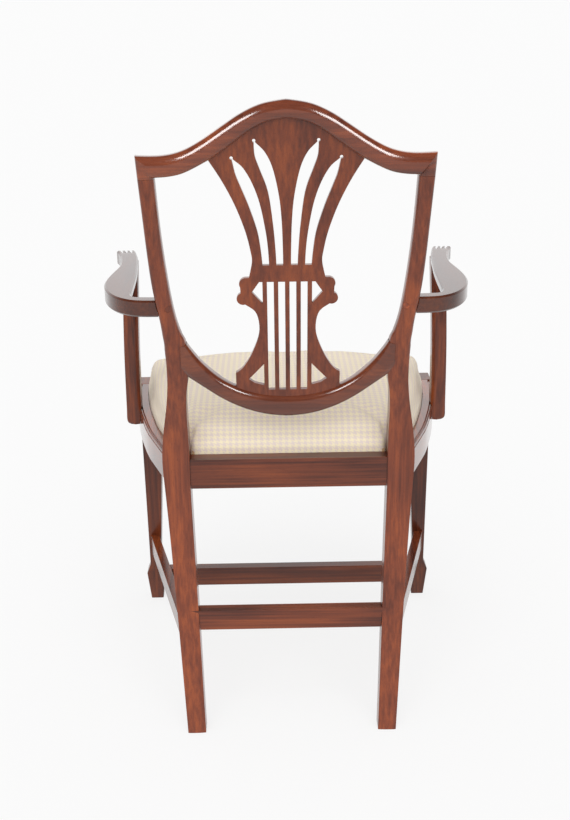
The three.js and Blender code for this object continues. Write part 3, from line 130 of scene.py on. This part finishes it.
class Finish:
    """A material that is being made."""

    def __init__(self, name):
        self.material = bpy.data.materials.new(name)
        self.material.use_nodes = True
        self.tree = self.material.node_tree
        self.shader = self.tree.nodes["Principled BSDF"]

    def node(self, kind, settings=None, values=None, output=0):
        made = self.tree.nodes.new("ShaderNode" + kind)
        for name, setting in (settings or {}).items():
            if name == "stops":
                self.set_stops(made.color_ramp, setting)
            else:
                setattr(made, name, setting)
        for name, value in (values or {}).items():
            self.feed(made.inputs[name], value)
        return Socket(self, made.outputs[output])

    def set_stops(self, ramp, stops):
        while len(ramp.elements) < len(stops):
            ramp.elements.new(1)
        for element, (place, colour) in zip(ramp.elements, stops):
            element.position = place
            element.color = (*colour, 1)

    def feed(self, end, value):
        if isinstance(value, Socket):
            self.tree.links.new(value.output, end)
        elif end.type == "RGBA":
            end.default_value = (*value, 1)
        else:
            end.default_value = value

    def set(self, values):
        for name, value in values.items():
            self.feed(self.shader.inputs[name], value)

    def place(self, scale=(1, 1, 1), shift=(0, 0, 0), turn=(0, 0, 0)):
        """Object coordinates, moved, turned and stretched."""
        where = self.node("TexCoord", output="Object")
        return self.node("Mapping", {}, {
            "Vector": where, "Location": shift, "Rotation": turn, "Scale": scale})

    def noise(self, where, scale, detail=2.0, rough=0.5):
        return self.node("TexNoise", {}, {
            "Vector": where, "Scale": scale, "Detail": detail, "Roughness": rough})

    def ramp(self, value, stops):
        return self.node("ValToRGB", {"stops": stops}, {"Fac": value})

    def mix(self, factor, first, second, how="MIX"):
        return self.node("Mix", {"data_type": "RGBA", "blend_type": how},
                         {0: factor, 6: first, 7: second}, output=2)

    def bump(self, height, strength, distance):
        return self.node("Bump", {}, {
            "Height": height, "Strength": strength, "Distance": distance})


# Floor and light
# A pale studio floor and a white surround, which the polish shows bright ahead of the camera and
# dim elsewhere. Broad soft lights come from above and behind. Two soft boxes behind the camera
# light the crest rail and the lower rail only, because on flat tops they burn out to white.

FLOOR_SIZE = 200
FLOOR_COLOUR = (0.5, 0.5, 0.5)
FLOOR_GLOW = 0.66                    # the share of the floor's own white, which lightens the shadow
FLOOR_WHITE = 1.19
BACKDROP = 0.96
SURROUND_LIGHT = 0.6
BACKDROP_SHINE = 1.15
ROOM_SHINE = 0.15
BACKDROP_EDGE = -0.2                # how far ahead, as a share, the bright backdrop begins
BACKDROP_FULL = -0.8                # and where it has its full brightness
AIM = Vector((0, 0, 0.75))
SOFT_LIGHTS = {
    "overhead_light": ((0.5, 0.9, 3.0), 0.4),
    "fill_light": ((0.0, 2.0, 1.7), 1.75),
}
LIGHT_SPREAD = math.radians(70)
SOFT_BOXES = {"left": (1.9, 3.0, 1.8), "right": (-1.9, 3.0, 1.8)}
SOFT_BOX_SIZE = (1.3, 0.7)
SOFT_BOX_POWER = 55

bpy.ops.mesh.primitive_plane_add(size=FLOOR_SIZE)
floor = bpy.context.active_object
floor.name = "floor"
floor_finish = Finish("studio_floor")
floor_finish.set({"Base Color": FLOOR_COLOUR, "Roughness": 0.8, "Specular IOR Level": 0.0})
seen = (floor_finish.node("LightPath", output="Is Camera Ray")
        + floor_finish.node("LightPath", output="Is Glossy Ray"))
white = floor_finish.node("Emission", {}, {"Color": (1, 1, 1), "Strength": FLOOR_WHITE})
lit = Socket(floor_finish, floor_finish.shader.outputs["BSDF"])
ground = floor_finish.node("MixShader", {}, {0: seen * FLOOR_GLOW, 1: lit, 2: white})
floor_output = floor_finish.tree.nodes["Material Output"]
floor_finish.feed(floor_output.inputs["Surface"], ground)
floor.data.materials.append(floor_finish.material)

world = bpy.data.worlds.new("surround")
bpy.context.scene.world = world
world.use_nodes = True
world_nodes = world.node_tree.nodes
world_links = world.node_tree.links
background = world_nodes["Background"]
background.inputs["Color"].default_value = (1, 1, 1, 1)
rays = world_nodes.new("ShaderNodeLightPath")
way = world_nodes.new("ShaderNodeSeparateXYZ")
coordinate = world_nodes.new("ShaderNodeTexCoord")
world_links.new(coordinate.outputs["Generated"], way.inputs[0])
shine = world_nodes.new("ShaderNodeMapRange")
shine.inputs["From Min"].default_value = BACKDROP_EDGE
shine.inputs["From Max"].default_value = BACKDROP_FULL
shine.inputs["To Min"].default_value = ROOM_SHINE
shine.inputs["To Max"].default_value = BACKDROP_SHINE
world_links.new(way.outputs["Y"], shine.inputs["Value"])
polish = world_nodes.new("ShaderNodeMix")
polish.inputs["A"].default_value = SURROUND_LIGHT
world_links.new(rays.outputs["Is Glossy Ray"], polish.inputs["Factor"])
world_links.new(shine.outputs["Result"], polish.inputs["B"])
strength = world_nodes.new("ShaderNodeMix")
strength.inputs["B"].default_value = BACKDROP
world_links.new(rays.outputs["Is Camera Ray"], strength.inputs["Factor"])
world_links.new(polish.outputs["Result"], strength.inputs["A"])
world_links.new(strength.outputs["Result"], background.inputs["Strength"])

for name, (place, energy) in SOFT_LIGHTS.items():
    bpy.ops.object.light_add(type="SUN", location=place)
    lamp = bpy.context.active_object
    lamp.name = name
    lamp.data.energy = energy
    lamp.data.angle = LIGHT_SPREAD
    lamp.rotation_mode = "QUATERNION"
    lamp.rotation_quaternion = Vector(place).to_track_quat("Z", "Y")
    lamp.visible_glossy = False

box_lit = bpy.data.collections.new("lit_by_soft_boxes")
for side, place in SOFT_BOXES.items():
    bpy.ops.object.light_add(type="AREA", location=place)
    lamp = bpy.context.active_object
    lamp.name = f"soft_box_{side}"
    lamp.data.shape = "RECTANGLE"
    lamp.data.size, lamp.data.size_y = SOFT_BOX_SIZE
    lamp.data.energy = SOFT_BOX_POWER
    lamp.rotation_mode = "QUATERNION"
    lamp.rotation_quaternion = (Vector(place) - AIM).to_track_quat("Z", "Y")
    lamp.visible_camera = False
    lamp.visible_diffuse = False
    lamp.light_linking.receiver_collection = box_lit

scene = bpy.context.scene
scene.view_settings.view_transform = "Standard"


# Rear posts
# Each rear leg and upright of the shield is one piece of mahogany, sawn to its curve, rounded at
# the back above the seat and French polished.

UP = "Z"                            # the ways that the grain runs
ACROSS = "X"
FORWARD = "Y"
DARK_WOOD = (0.095, 0.020, 0.009)
MIDDLE_WOOD = (0.215, 0.047, 0.017)
BRIGHT_WOOD = (0.370, 0.086, 0.024)
PORE_TINT = (0.58, 0.52, 0.52)
PATCH_SCALE, PATCH_DRAW = 27, 0.2   # each part of the figure, and how far it is drawn out
STREAK_SCALE, STREAK_DRAW = 210, 0.022
FIBRE_SCALE = 900
PORE_SCALE, PORE_DRAW = 1700, 0.06
PORE_LEVEL = 0.66                   # the share of the pores' noise that stays plain wood
STREAK_GLOSS = 0.08                 # how much the streaks change the roughness
EDGE_ANGLE = math.radians(40)
MERGE_DISTANCE = 0.00002
FLAT_ANGLE = math.radians(0.1)
EASED_EDGE = 0.0007
FINE_EDGE = 0.0003                  # on the moulded rails
SLIVER = 0.0004                     # points closer than this are one
QUAD_ANGLE = math.radians(30)


def drawn_out(grain, share):
    """The scale of a figure that is drawn out along the grain."""
    return tuple(share if axis == grain else 1 for axis in "XYZ")


def mahogany(name, grain, shift, shade=1.0, roughness=0.3, gloss=0.5, calm=1.0):
    """French-polished mahogany: long patches, straight streaks and fine dark pores."""
    finish = Finish(name)
    shifts = (shift, 2 * shift, 3 * shift)
    patches = finish.noise(finish.place(drawn_out(grain, PATCH_DRAW), shifts), PATCH_SCALE, 2, 0.4)
    wood = finish.place(drawn_out(grain, STREAK_DRAW), shifts)
    streaks = finish.noise(wood, STREAK_SCALE, 3, 0.55)
    fibres = finish.noise(wood, FIBRE_SCALE, 3, 0.6)
    pored = finish.place(drawn_out(grain, PORE_DRAW), shifts)
    pores = finish.noise(pored, PORE_SCALE, 1) > PORE_LEVEL
    figure = patches * 0.5 + streaks * 0.5
    colour = finish.ramp(figure, [
        (0.5 - 0.13 * calm, tuple(shade * c for c in DARK_WOOD)),
        (0.5, tuple(shade * c for c in MIDDLE_WOOD)),
        (0.5 + 0.14 * calm, tuple(shade * c for c in BRIGHT_WOOD)),
    ])
    dark = finish.mix(1.0, colour, PORE_TINT, "MULTIPLY")
    finish.set({
        "Base Color": finish.mix(pores * 0.6 + fibres * 0.25, colour, dark),
        "Roughness": streaks * STREAK_GLOSS + (roughness - STREAK_GLOSS / 2),
        "Normal": finish.bump(fibres * 0.7 + pores * -1.0, 0.04, 0.0004),
        "Specular IOR Level": 0.25,
        "Coat Weight": gloss,
        "Coat Roughness": 0.14,
    })
    return finish.material


def only(piece):
    """Selects one object and makes it the active one."""
    bpy.ops.object.select_all(action="DESELECT")
    piece.select_set(True)
    bpy.context.view_layer.objects.active = piece


def apply_modifier(piece, kind, **settings):
    only(piece)
    modifier = piece.modifiers.new(kind.lower(), kind)
    for name, setting in settings.items():
        setattr(modifier, name, setting)
    bpy.ops.object.modifier_apply(modifier=modifier.name)


def joined_copy(node, name):
    """A copy of a CAD piece with the corners of its triangles merged."""
    only(nodes[node])
    bpy.ops.object.duplicate()
    piece = bpy.context.active_object
    piece.name = name
    piece.data.name = name
    piece.parent = None
    del piece["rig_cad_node"]
    bpy.ops.object.mode_set(mode="EDIT")
    bpy.ops.mesh.select_all(action="SELECT")
    bpy.ops.mesh.remove_doubles(threshold=MERGE_DISTANCE)
    bpy.ops.object.mode_set(mode="OBJECT")
    return piece


def faired(piece, levels):
    """Draws smooth curves through a piece's sections, with its sharp edges kept."""
    bpy.ops.object.mode_set(mode="EDIT")
    bpy.ops.mesh.select_all(action="SELECT")
    bpy.ops.mesh.remove_doubles(threshold=SLIVER)
    bpy.ops.mesh.tris_convert_to_quads(face_threshold=QUAD_ANGLE, shape_threshold=QUAD_ANGLE)
    bpy.ops.mesh.select_mode(type="EDGE")
    bpy.ops.mesh.select_all(action="DESELECT")
    bpy.ops.mesh.edges_select_sharp(sharpness=EDGE_ANGLE)
    bpy.ops.transform.edge_crease(value=1)
    bpy.ops.object.mode_set(mode="OBJECT")
    apply_modifier(piece, "SUBSURF", levels=levels, render_levels=levels)


def worked(node, body, material, edge=EASED_EDGE, fairing=0, trim=None):
    """A piece of the frame with its edges eased and its curves smooth."""
    piece = joined_copy(node, node + "_worked")
    if trim:
        trim(piece)
    if fairing:
        faired(piece, fairing)
    else:
        bpy.ops.object.mode_set(mode="EDIT")
        bpy.ops.mesh.dissolve_limited(angle_limit=FLAT_ANGLE)
        bpy.ops.object.mode_set(mode="OBJECT")
    apply_modifier(piece, "BEVEL", width=edge, segments=2, limit_method="ANGLE", angle_limit=EDGE_ANGLE)
    bpy.ops.object.shade_smooth_by_angle(angle=EDGE_ANGLE)
    apply_modifier(piece, "WEIGHTED_NORMAL", keep_sharp=True)
    piece.data.materials.clear()
    piece.data.materials.append(material)
    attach(piece, body)
    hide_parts(node)
    return piece


SIDES = ("left", "right")
for number, side in enumerate(SIDES):
    wood = mahogany(f"mahogany_post_{side}", UP, 0.31 + number, 1.03, calm=1.35)
    worked(f"rear_post_{side}", CHAIR, wood, fairing=1)


# Seat rails
# Four mahogany rails tenoned into the legs. The side rails curve in plan and the front one is
# bowed. Their top edges are moulded with a bead, and a ledge inside carries the seat.

rear_rail_wood = mahogany("mahogany_rear_rail", ACROSS, 2.3, 0.78)
worked("rear_seat_rail", CHAIR, rear_rail_wood)
for number, side in enumerate(SIDES):
    wood = mahogany(f"mahogany_side_rail_{side}", FORWARD, 3.1 + number, 0.85, 0.2, 0.9)
    worked(f"side_seat_rail_{side}", CHAIR, wood, FINE_EDGE)
worked("front_seat_rail", CHAIR, mahogany("mahogany_front_rail", ACROSS, 5.2, 0.9), FINE_EDGE)


# Front legs
# Square mahogany legs that taper to spade feet.

# Both legs are a darker tone than the posts. The right leg is darker again than the left, and that
# difference is painted shade.
FRONT_LEG_TONE_AND_PAINTED_SHADE = {"left": 0.62, "right": 0.5}

for number, side in enumerate(SIDES):
    wood = mahogany(f"mahogany_front_leg_{side}", UP, 6.4 + number, FRONT_LEG_TONE_AND_PAINTED_SHADE[side])
    worked(f"front_leg_{side}", CHAIR, wood)


# Stretchers
# Flat mahogany bars on edge, tenoned between the legs: one at each side, one across between
# those two, and a higher one between the rear legs.

for number, side in enumerate(SIDES):
    wood = mahogany(f"mahogany_side_stretcher_{side}", FORWARD, 8.7 + number, 0.8, 0.25, 0.6)
    worked(f"side_stretcher_{side}", CHAIR, wood)
worked("cross_stretcher", CHAIR, mahogany("mahogany_cross_stretcher", ACROSS, 10.9, 0.6))
worked("rear_stretcher", CHAIR, mahogany("mahogany_rear_stretcher", ACROSS, 12.2, 0.85))


# Shield
# The crest rail and the lower rail slope up at the back to a line near one edge, turn quickly
# there, and are polished to a high gloss. The splat between them is one thin board, fretted out.

SPLAT_EDGE = 0.0004
TENON_CORNER = (0.134, 0.6255)      # across and up
TENON_PROUD = 0.0042
NEAR_CORNER = 0.0006


def pare_tenon(piece):
    """The solid's tenons stand proud of the rail's upper edge. This pares their corners down."""
    across, up = TENON_CORNER
    for vertex in piece.data.vertices:
        if abs(abs(vertex.co.x) - across) < NEAR_CORNER and abs(vertex.co.z - up) < NEAR_CORNER:
            vertex.co.z -= TENON_PROUD


wood = mahogany("mahogany_crest_rail", ACROSS, 14.6, 1.0, 0.2, 0.8, 1.5)
box_lit.objects.link(worked("crest_rail", CHAIR, wood, fairing=2))
wood = mahogany("mahogany_lower_rail", ACROSS, 16.3, 0.7, 0.2, 0.8, 1.8)
box_lit.objects.link(worked("shield_lower_rail", CHAIR, wood, fairing=2, trim=pare_tenon))
worked("splat", CHAIR, mahogany("mahogany_splat", UP, 18.4, 0.92, calm=1.5), SPLAT_EDGE)


# Arms
# Curved mahogany arms on sloping supports. The arms are tenoned and screwed to the posts, and
# the supports are screwed to the side rails from the inside.

for number, side in enumerate(SIDES):
    wood = mahogany(f"mahogany_arm_{side}", FORWARD, 20.1 + number, 0.4, 0.25, 0.8, 1.6)
    worked(f"arm_{side}", CHAIR, wood, fairing=1)
    wood = mahogany(f"mahogany_arm_support_{side}", UP, 23.1 + number, 0.72)
    worked(f"arm_support_{side}", CHAIR, wood)


# Screws and pellets
# Countersunk steel screws, and a turned wooden pellet over each arm screw.


def give(node, material):
    """A CAD piece keeps its shape and gets its finish."""
    piece = nodes[node]
    piece.data.materials.clear()
    piece.data.materials.append(material)


def steel_finish():
    finish = Finish("screw_steel")
    worn = finish.noise(finish.place(), 900, 4)
    finish.set({
        "Base Color": finish.ramp(worn, [(0.35, (0.33, 0.32, 0.30)), (0.65, (0.58, 0.57, 0.55))]),
        "Metallic": 1.0,
        "Roughness": worn * 0.3 + 0.25,
    })
    return finish.material


steel = steel_finish()
for node in nodes:
    if "screw" in node and "pellet" not in node:
        give(node, steel)
give("arm_screw_pellet_left", mahogany("mahogany_pellet_left", UP, 27.5, 1.05))
give("arm_screw_pellet_right", mahogany("mahogany_pellet_right", FORWARD, 27.5, 1.5))


# Corner blocks and seat frame
# Bare beech: three-cornered blocks glued and screwed under the seat, and the open frame of the
# drop-in seat.


def beech_finish(name, grain, shift):
    finish = Finish(name)
    wood = finish.place(drawn_out(grain, 0.07), (shift, shift, shift))
    rings = finish.noise(wood, 60, 4)
    flecks = finish.noise(wood, 900, 2) > 0.62
    colour = finish.ramp(rings, [(0.35, (0.50, 0.31, 0.16)), (0.65, (0.66, 0.45, 0.27))])
    finish.set({
        "Base Color": finish.mix(flecks * 0.35, colour, (0.42, 0.25, 0.13)),
        "Roughness": rings * 0.2 + 0.55,
        "Normal": finish.bump(rings, 0.2, 0.0005),
    })
    return finish.material


block_wood = beech_finish("beech_blocks", ACROSS, 1.7)
for side in SIDES:
    give(f"corner_block_front_{side}", block_wood)
    give(f"corner_block_rear_{side}", block_wood)
frame_wood = beech_finish("beech_frame_across", ACROSS, 4.4)
give("seat_frame_rear", frame_wood)
give("seat_frame_front", frame_wood)
side_frame_wood = beech_finish("beech_frame_sides", FORWARD, 5.9)
for side in SIDES:
    give(f"seat_frame_side_{side}", side_frame_wood)


# Webbing, hessian and under cloth
# Jute webbing tacked over the seat frame, hessian over it, and a thin black lining under the seat.


def woven_finish(name, thread, light, dark, rough):
    """A plain weave by Object coordinates, thread by thread."""
    finish = Finish(name)
    parts = finish.node("SeparateXYZ", {}, {"Vector": finish.place((1 / thread,) * 3)})
    across = Socket(finish, parts.output.node.outputs["X"])
    along = Socket(finish, parts.output.node.outputs["Y"])
    over = ((finish.node("Math", {"operation": "FLOOR"}, {0: across})
             + finish.node("Math", {"operation": "FLOOR"}, {0: along})) % 2) < 1
    uneven = finish.noise(finish.place(), 160, 4)
    finish.set({
        "Base Color": finish.mix(over * 0.5 + uneven * 0.5, dark, light),
        "Roughness": uneven * 0.1 + rough,
        "Normal": finish.bump(over * 0.5 + uneven, 0.4, thread / 4),
    })
    return finish.material


jute = woven_finish("jute_webbing", 0.0022, (0.46, 0.33, 0.18), (0.24, 0.16, 0.08), 0.85)
for node in nodes:
    if node.startswith("webbing"):
        give(node, jute)
give("hessian", woven_finish("hessian_cloth", 0.0016, (0.52, 0.40, 0.24), (0.30, 0.22, 0.12), 0.85))
give("under_cloth", woven_finish("lining", 0.0006, (0.035, 0.034, 0.034), (0.015, 0.015, 0.016), 0.8))


# Stuffed seat
# Curled hair under wadding, with the houndstooth cover drawn over it and down round the seat
# frame. The cloth swells between the edges that hold it, so its form comes from a cloth simulation.

RAIL_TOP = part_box("rear_seat_rail")[1].z
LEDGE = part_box("seat_cover")[0].z
STUFFING_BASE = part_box("stuffing")[0].z
COVER_ALLOWANCE = 0.0013            # from the stuffing's solid out to the cover's outer face
COVER_THICKNESS = 0.0011
HEM_RINGS = 3                       # rows of faces that are turned in under the seat frame
VOXEL = 0.006
PRESSURE = 4
CLOTH_MASS = 0.3
FRAMES = 20
SWELL_CAP = 0.006                   # the furthest that a point of the cover may move
HELD_BELOW = RAIL_TOP + 0.004
FREE_ABOVE = RAIL_TOP + 0.018
SHOULDER_DROP = 0.012               # the pattern runs flat down to here, and then down the sides


def select_faces(piece, wanted):
    """Selects the faces whose normal and centre the function says yes to."""
    bpy.ops.object.mode_set(mode="OBJECT")
    for vertex in piece.data.vertices:
        vertex.select = False
    for line in piece.data.edges:
        line.select = False
    for face in piece.data.polygons:
        face.select = wanted(face.normal, face.center)
    bpy.ops.object.mode_set(mode="EDIT")
    bpy.ops.mesh.select_mode(type="FACE")


def coordinates(piece):
    flat = np.empty(3 * len(piece.data.vertices), np.float32)
    piece.data.vertices.foreach_get("co", flat)
    return flat.reshape(-1, 3)


def swollen(piece):
    """Lets a pressure inside swell the cloth, with the edge in the rails held still."""
    rest = coordinates(piece)
    held = piece.vertex_groups.new(name="held")
    for vertex, height in zip(piece.data.vertices, rest[:, 2]):
        free = (height - HELD_BELOW) / (FREE_ABOVE - HELD_BELOW)
        weight = 1 - min(1, max(0, float(free)))
        if weight > 0:
            held.add([vertex.index], weight, "REPLACE")
    cloth = piece.modifiers.new("cloth", "CLOTH")
    cloth.settings.use_pressure = True
    cloth.settings.uniform_pressure_force = PRESSURE
    cloth.settings.effector_weights.gravity = 0
    cloth.settings.vertex_group_mass = held.name
    cloth.settings.mass = CLOTH_MASS
    cloth.collision_settings.use_collision = False
    cloth.point_cache.frame_end = FRAMES
    for step in range(1, FRAMES + 1):
        scene.frame_set(step)
    bpy.ops.object.modifier_apply(modifier=cloth.name)
    scene.frame_set(1)
    move = coordinates(piece) - rest
    far = np.linalg.norm(move, axis=1, keepdims=True)
    move *= np.minimum(1, SWELL_CAP / np.maximum(far, 1e-9))
    piece.data.vertices.foreach_set("co", (rest + move).ravel())
    piece.vertex_groups.clear()


pad = joined_copy("stuffing", "seat_pad")
select_faces(pad, lambda normal, centre: normal.z < -0.9 and centre.z < STUFFING_BASE + COVER_ALLOWANCE)
bpy.ops.transform.translate(value=(0, 0, LEDGE + COVER_ALLOWANCE - STUFFING_BASE))
bpy.ops.object.mode_set(mode="OBJECT")
apply_modifier(pad, "DISPLACE", strength=COVER_ALLOWANCE, mid_level=0)
pad.data.remesh_voxel_size = VOXEL
bpy.ops.object.voxel_remesh()
swollen(pad)
apply_modifier(pad, "SMOOTH", factor=0.5, iterations=4)
apply_modifier(pad, "SUBSURF", levels=1, render_levels=1)

stuffing = pad.copy()
stuffing.data = pad.data.copy()
stuffing.name = "stuffing_hair"
scene.collection.objects.link(stuffing)
apply_modifier(stuffing, "DISPLACE", strength=-2 * COVER_THICKNESS, mid_level=0)
bpy.ops.object.mode_set(mode="EDIT")
bpy.ops.mesh.select_all(action="SELECT")
bpy.ops.mesh.bisect(plane_co=(0, 0, STUFFING_BASE), plane_no=(0, 0, 1), use_fill=True, clear_inner=True)
bpy.ops.object.mode_set(mode="OBJECT")


def inside_hem(normal, centre):
    """The cover's underside, but for the hem that is turned in under the seat frame."""
    return normal.z < -0.7 and centre.z < LEDGE + 2 * COVER_ALLOWANCE


select_faces(pad, inside_hem)
for ring in range(HEM_RINGS):
    bpy.ops.mesh.select_less()
bpy.ops.mesh.delete(type="FACE")
bpy.ops.object.mode_set(mode="OBJECT")


def lay_pattern(piece):
    """The cloth's own map, in metres: flat over the top, then down each side from its shoulder."""
    points = coordinates(piece)
    shoulder = points[:, 2].max() - SHOULDER_DROP
    layer = piece.data.uv_layers.new(name="cloth")
    places = []
    for face in piece.data.polygons:
        normal = face.normal
        if abs(normal.x) > abs(normal.y):
            way = (math.copysign(1, normal.x), 0)
        else:
            way = (0, math.copysign(1, normal.y))
        for vertex in face.vertices:
            x, y, z = points[vertex]
            drop = max(0, shoulder - z)
            places += [x + way[0] * drop, y + way[1] * drop]
    layer.data.foreach_set("uv", places)


lay_pattern(pad)
apply_modifier(pad, "SOLIDIFY", thickness=COVER_THICKNESS, offset=-1)
bpy.ops.object.shade_smooth()

MOTIF = 0.0096                      # one repeat of the houndstooth
THREADS = 8                         # threads in a repeat, four dark and four light
CREAM = (0.92, 0.82, 0.59)
PALE_CREAM = (0.95, 0.85, 0.62)
LILAC = (0.80, 0.69, 0.64)
SOIL = (0.80, 0.66, 0.42)


def houndstooth():
    """A two and two twill of four dark and four light threads both ways, as houndstooth is woven."""
    finish = Finish("houndstooth_cloth")
    where = finish.node("UVMap", {"uv_map": "cloth"})
    parts = finish.node("SeparateXYZ", {}, {"Vector": where})
    threads = []
    for way in ("X", "Y"):
        place = Socket(finish, parts.output.node.outputs[way]) * (THREADS / MOTIF)
        threads.append(finish.node("Math", {"operation": "FLOOR"}, {0: place}))
    warp, weft = threads
    warp_dark = (warp % THREADS) < THREADS / 2
    weft_dark = (weft % THREADS) < THREADS / 2
    warp_over = ((warp + weft) % 4) < 2
    dark = warp_over * warp_dark + (1 - warp_over) * weft_dark
    slub = finish.noise(where, 420, 4, 0.6)
    soil = finish.noise(finish.place(), 9, 3)
    cream = finish.mix(slub, PALE_CREAM, CREAM)
    pattern = finish.mix(dark, cream, LILAC)
    finish.set({
        "Base Color": finish.mix(soil * 0.12, pattern, SOIL),
        "Roughness": slub * 0.1 + 0.78,
        "Normal": finish.bump(warp_over * 0.4 + slub, 0.35, 0.0004),
        "Sheen Weight": 0.15,
        "Specular IOR Level": 0.3,
    })
    return finish.material


pad.data.materials.clear()
pad.data.materials.append(houndstooth())
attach(pad, SEAT)
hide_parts("seat_cover")


def hair_finish():
    finish = Finish("curled_hair")
    curls = finish.noise(finish.place(), 260, 8, 0.75)
    finish.set({
        "Base Color": finish.ramp(curls, [(0.35, (0.05, 0.035, 0.025)), (0.7, (0.24, 0.18, 0.12))]),
        "Roughness": curls * 0.1 + 0.85,
        "Normal": finish.bump(curls, 0.8, 0.002),
    })
    return finish.material


stuffing.data.materials.clear()
stuffing.data.materials.append(hair_finish())
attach(stuffing, SEAT)
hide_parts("stuffing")
